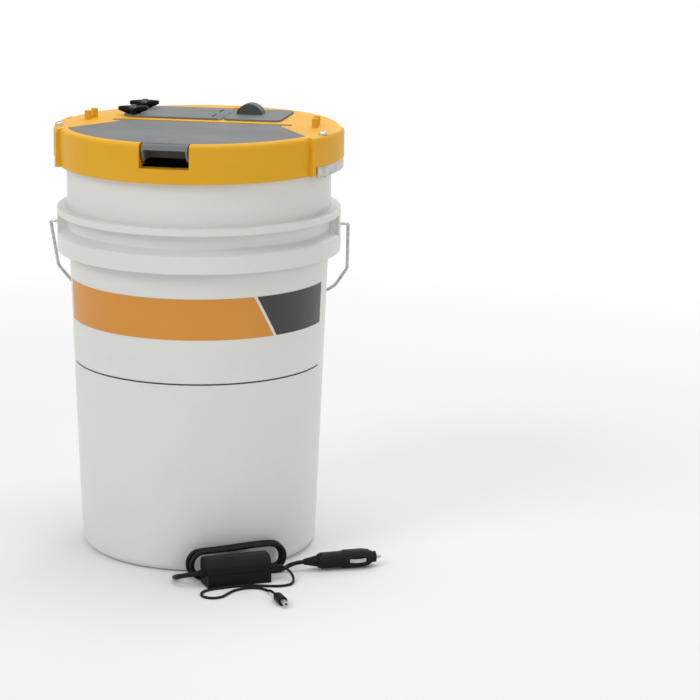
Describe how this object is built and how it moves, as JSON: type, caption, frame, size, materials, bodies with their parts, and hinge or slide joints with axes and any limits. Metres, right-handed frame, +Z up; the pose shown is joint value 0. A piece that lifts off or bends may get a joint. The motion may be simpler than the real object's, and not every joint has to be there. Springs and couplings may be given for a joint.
{
  "type": "bait_bucket",
  "caption": "Aerated bait bucket: white pail with a moulded lid, hinged flap, battery and aerator covers, side latches, wire bail, diffuser inside and a vehicle lead.",
  "frame": {"origin": "middle of the pail's flat base, on the surface that it stands on", "axes": "+Z up the pail's axis; the lid's front, with the flap's pull tab, faces -Y; the flap's hinge lies along X"},
  "size_m": [0.3891, 0.3907, 0.4805],
  "materials": {
    "white_plastic": "semi-gloss off-white polyethylene",
    "yellow_plastic": "moulded yellow with a fine grain",
    "grey_plastic": "moulded mid grey with a fine grain",
    "black_plastic": "moulded black",
    "black_rubber": "black rubber",
    "black_cord": "smooth black vinyl jacket",
    "dark_tube": "dark flexible air tube",
    "translucent_plastic": "milky plastic tube",
    "olive_plastic": "olive yellow insert",
    "cell_jacket": "plain battery sleeve",
    "steel": "zinc-plated steel",
    "black_steel": "black oxide",
    "grip_plastic": "off-white moulded roller"
  },
  "bodies": {
    "bucket": {"pail": "white_plastic", "lid": "yellow_plastic", "lid_gasket": "black_rubber", "aerator_cover": "grey_plastic", "contact_left": "steel", "contact_right": "steel", "battery_cell_1": "cell_jacket", "battery_cell_2": "cell_jacket", "pump_housing": "black_plastic", "pump_diaphragm": "black_rubber", "pump_motor": "steel", "dc_jack": "black_plastic", "jack_pin": "steel", "air_tube": "dark_tube", "air_tube_guard": "translucent_plastic", "diffuser_ring": "black_rubber", "diffuser_insert": "olive_plastic", "latch_screw_left": "steel", "latch_screw_right": "steel", "latch_nut_left": "black_steel", "latch_nut_right": "black_steel", "adapter_box": "black_plastic", "gland_supply": "black_rubber", "gland_output": "black_rubber", "supply_lead_hank": "black_cord", "supply_lead_box": "black_cord", "supply_lead_plug": "black_cord", "output_lead": "black_cord", "plug_relief": "black_rubber", "plug_body": "black_plastic", "plug_nose": "black_plastic", "plug_tip": "steel", "plug_clip_1": "steel", "plug_clip_2": "steel", "connector_body": "black_plastic", "connector_shaft": "steel"},
    "flap": {"flap": "grey_plastic"},
    "battery_door": {"battery_cover": "grey_plastic"},
    "knob_front": {"knob_1": "black_plastic", "knob_stud_1": "steel"},
    "knob_rear": {"knob_2": "black_plastic", "knob_stud_2": "steel"},
    "bail": {"bail": "steel"},
    "grip": {"bail_grip": "grip_plastic"},
    "latch_right": {"side_latch_right": "steel"},
    "latch_left": {"side_latch_left": "steel"},
    "rocker": {"switch_rocker": "black_plastic"}
  },
  "joints": [
    {"name": "flap_hinge", "type": "hinge", "parent": "bucket", "child": "flap", "pos_m": [0, 0.012, 0.459], "axis": [-1, 0, 0], "range_deg": [0, 95]},
    {"name": "battery_cover_hinge", "type": "hinge", "parent": "bucket", "child": "battery_door", "pos_m": [0.011, 0.071, 0.461], "axis": [0, 1, 0], "range_deg": [0, 105]},
    {"name": "knob_front_turn", "type": "hinge", "parent": "battery_door", "child": "knob_front", "pos_m": [-0.086, 0.046, 0.47], "axis": [0, 0, 1], "continuous": true},
    {"name": "knob_rear_turn", "type": "hinge", "parent": "battery_door", "child": "knob_rear", "pos_m": [-0.086, 0.093, 0.47], "axis": [0, 0, 1], "continuous": true},
    {"name": "bail_swing", "type": "hinge", "parent": "bucket", "child": "bail", "pos_m": [0, 0, 0.357], "axis": [0.9816, 0.1908, 0], "range_deg": [0, 261]},
    {"name": "grip_spin", "type": "hinge", "parent": "bail", "child": "grip", "pos_m": [-0.02901, 0.14927, 0.22555], "axis": [0.9816, 0.1908, 0], "continuous": true},
    {"name": "latch_right_swing", "type": "hinge", "parent": "bucket", "child": "latch_right", "pos_m": [0.14397, -0.0421, 0.4265], "axis": [0, 0, -1], "range_deg": [0, 20]},
    {"name": "latch_left_swing", "type": "hinge", "parent": "bucket", "child": "latch_left", "pos_m": [-0.14397, -0.0421, 0.4265], "axis": [0, 0, 1], "range_deg": [0, 20]},
    {"name": "switch_tip", "type": "hinge", "parent": "bucket", "child": "rocker", "pos_m": [0.04, 0.0815, 0.4645], "axis": [-1, 0, 0], "range_deg": [0, 16]}
  ]
}
